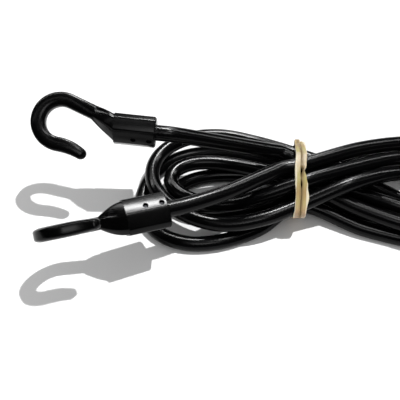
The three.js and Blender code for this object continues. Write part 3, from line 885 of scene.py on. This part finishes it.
def waist_outline():
    """Spots at equal distances round the waist, from the back on, each with its outward direction."""
    reach = CORD / 2 + BAND_CLEARANCE + BAND_THICKNESS / 2
    lowest = BAND_THICKNESS * BAND_FLOOR_SHARE
    rim = []
    for centre in hank_line:
        if abs(centre.x - SHIFT.x) > WAIST_REACH:
            continue
        for side in range(WAIST_SIDES):
            angle = 2 * math.pi * side / WAIST_SIDES
            height = centre.z + reach * math.sin(angle)
            rim.append((centre.y + reach * math.cos(angle), max(height, lowest)))
    loop = [Vector(spot) for spot in hull(rim)]
    first = max(range(len(loop)), key=lambda order: loop[order].x)
    loop = loop[first:] + loop[:first + 1]
    lengths = [0.0]
    for start, end in zip(loop, loop[1:]):
        lengths.append(lengths[-1] + (end - start).length)
    spots, at = [], 0
    for step in range(BAND_STEPS):
        want = lengths[-1] * step / BAND_STEPS
        while lengths[at + 1] < want:
            at += 1
        spots.append(loop[at].lerp(loop[at + 1], (want - lengths[at]) / (lengths[at + 1] - lengths[at])))
    outs = []
    for order in range(BAND_STEPS):
        run = spots[(order + WAIST_SMOOTHING) % BAND_STEPS] - spots[order - WAIST_SMOOTHING]
        outs.append(Vector((run.y, -run.x)).normalized())
    return spots, outs


def wander(order, seed):
    """Smooth chance, the same after one full turn, between -1 and 1."""
    angle = 2 * math.pi * order / BAND_STEPS
    spot = Vector((math.cos(angle), math.sin(angle), 0)) * BAND_NOISE_SCALE
    spot.z = seed
    return noise.noise(spot)


def band_side(turns):
    """-1 on the first turn and 1 on the second, with a crossing at the back between them."""
    if turns < 1 - BAND_CROSSING:
        return 2 * smoothstep(BAND_CROSSING - turns, 0, 2 * BAND_CROSSING) - 1
    if turns < 2 - BAND_CROSSING:
        return 2 * smoothstep(turns, 1 - BAND_CROSSING, 1 + BAND_CROSSING) - 1
    return 1 - 2 * smoothstep(turns, 2 - BAND_CROSSING, 2 + BAND_CROSSING)


def sum_of(humps, side, share):
    """How far the humps of one turn reach at a share of the turn."""
    total = 0
    for sides, at, length, size in humps:
        if math.copysign(1, side) in sides:
            away = (share - at + 0.5) % 1 - 0.5
            total += size * math.exp(-(away / length) ** 2)
    return total


def band_frame(step, spots, outs):
    """The band's centre and the two half axes of its section at one step of its two turns."""
    order, turns = step % BAND_STEPS, step / BAND_STEPS
    share = order / BAND_STEPS
    spot, out = spots[order], outs[order]
    side = band_side(turns)
    over = max(0, 1 - min(turns, 2 - turns) / BAND_CROSSING)
    roll = BAND_ROLL * wander(order, ROLL_SEED + side)
    if turns > 1:
        roll += math.pi * sum(smoothstep(share, start, end) for start, end in BAND_TWISTS)
    flare = sum_of(BAND_FLARES, side, share)
    aside = BAND_WANDER * wander(order, WANDER_SEED) + BAND_SLANT * (spot.x - SHIFT.y)
    aside += sum_of(BAND_BULGES, side, share) + side * flare / 2
    lift = BAND_LIFT * smoothstep(over, 0, BAND_LIFT_SHARE)
    lift += (BAND_WIDTH - BAND_THICKNESS) / 2 * abs(math.sin(roll))
    outward = Vector((0, out.x, out.y))
    along = Vector((1, 0, 0))
    centre = Vector((SHIFT.x + side * BAND_PITCH / 2 + aside, spot.x, spot.y)) + outward * lift
    across = along * math.cos(roll) + outward * math.sin(roll)
    raised = outward * math.cos(roll) - along * math.sin(roll)
    return centre, across * (BAND_WIDTH + flare) / 2, raised * BAND_THICKNESS / 2


def add_band():
    """Both turns as one closed loop of rounded section."""
    spots, outs = waist_outline()
    bm = bmesh.new()
    rings = []
    for step in range(2 * BAND_STEPS):
        centre, across, raised = band_frame(step, spots, outs)
        ring = []
        for corner in range(BAND_SIDES):
            angle = 2 * math.pi * corner / BAND_SIDES
            u, v = math.cos(angle), math.sin(angle)
            point = (centre + across * math.copysign(abs(u) ** BAND_SQUARENESS, u)
                     + raised * math.copysign(abs(v) ** BAND_SQUARENESS, v))
            point.z = max(point.z, 0)
            ring.append(bm.verts.new(point))
        rings.append(ring)
    for step, ring in enumerate(rings):
        following = rings[(step + 1) % len(rings)]
        for corner in range(BAND_SIDES):
            turn = (corner + 1) % BAND_SIDES
            face = bm.faces.new((ring[corner], following[corner], following[turn], ring[turn]))
            face.smooth = True
    bmesh.ops.recalc_face_normals(bm, faces=bm.faces)
    mesh = bpy.data.meshes.new("waist_band")
    bm.to_mesh(mesh)
    bm.free()
    mesh.materials.append(BAND)
    band = link("waist_band", mesh)
    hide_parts("rubber_band")
    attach(band, "hank")


add_band()

# Solids that stay: what is inside the cord and the pins


def dress(name, material):
    """Give a solid that stays its material."""
    mesh = frame["nodes"][name].data
    mesh.materials.clear()
    mesh.materials.append(material)


dress("hank_core", CORE)
for end in LEADS:
    dress(f"{end}_end_sheath", WEAVE)
    dress(f"{end}_end_core", CORE)
    dress(f"{end}_hook_front_pin", STEEL)
    dress(f"{end}_hook_rear_pin", STEEL)

# Stage

FLOOR_SIZE = 6.0
FLOOR_DROP = 0.1 * MM


def add_floor():
    bm = bmesh.new()
    bmesh.ops.create_grid(bm, x_segments=1, y_segments=1, size=FLOOR_SIZE / 2)
    mesh = bpy.data.meshes.new("floor")
    bm.to_mesh(mesh)
    bm.free()
    floor = link("floor", mesh)
    floor.location.z = -FLOOR_DROP
    mesh.materials.append(floor_material())


# Lights: a sun for the crisp shadows and a sky for their fill, while panels give the gloss.
# A panel is given by its direction from the middle of the picture, its size and its radiance.
SUN_SLANT = (0.381, 0.174)
SUN_STRENGTH = 3.2
SUN_ANGLE = math.radians(1.2)
SKY_STRENGTH = 0.56
PANEL_DISTANCE = 1.2
PANELS = {
    "back_panel": ((0.087, 0.54, 0.837), (0.22, 0.17), 175),
    "back_strip": ((0, 0.52, 0.854), (3.0, 0.09), 40),
    "front_strip": ((0, -0.3, 0.954), (3.0, 0.05), 5.5),
    "top_panel": ((0.22, 0, 0.975), (0.4, 0.1), 35),
    "front_panel": ((0.08, -0.57, 0.82), (0.4, 0.3), 7),
    "rear_panel": ((0.133, 0.83, 0.537), (0.2, 0.12), 60),
}


def add_sky():
    world = bpy.data.worlds.new("studio")
    world.use_nodes = True
    background = world.node_tree.nodes["Background"]
    background.inputs["Color"].default_value = (1, 1, 1, 1)
    background.inputs["Strength"].default_value = SKY_STRENGTH
    bpy.context.scene.world = world
    world.cycles_visibility.glossy = False


def add_sun():
    data = bpy.data.lights.new("key", "SUN")
    data.energy = SUN_STRENGTH
    data.angle = SUN_ANGLE
    key = link("key", data)
    source = Vector((*SUN_SLANT, 1))
    key.rotation_euler = (-source).to_track_quat("-Z", "Y").to_euler()
    key.visible_glossy = False


def add_panel(name, towards, size, radiance):
    data = bpy.data.lights.new(name, "AREA")
    data.shape = "RECTANGLE"
    data.size, data.size_y = size
    data.energy = radiance * math.pi * size[0] * size[1]
    panel = link(name, data)
    towards = Vector(towards).normalized()
    panel.location = CAMERA_TARGET + towards * PANEL_DISTANCE
    panel.rotation_euler = (-towards).to_track_quat("-Z", "Y").to_euler()
    panel.visible_diffuse = False


def add_lights():
    add_sky()
    add_sun()
    for name, panel in PANELS.items():
        add_panel(name, *panel)


add_floor()
add_lights()
bpy.context.scene.view_settings.view_transform = "Standard"
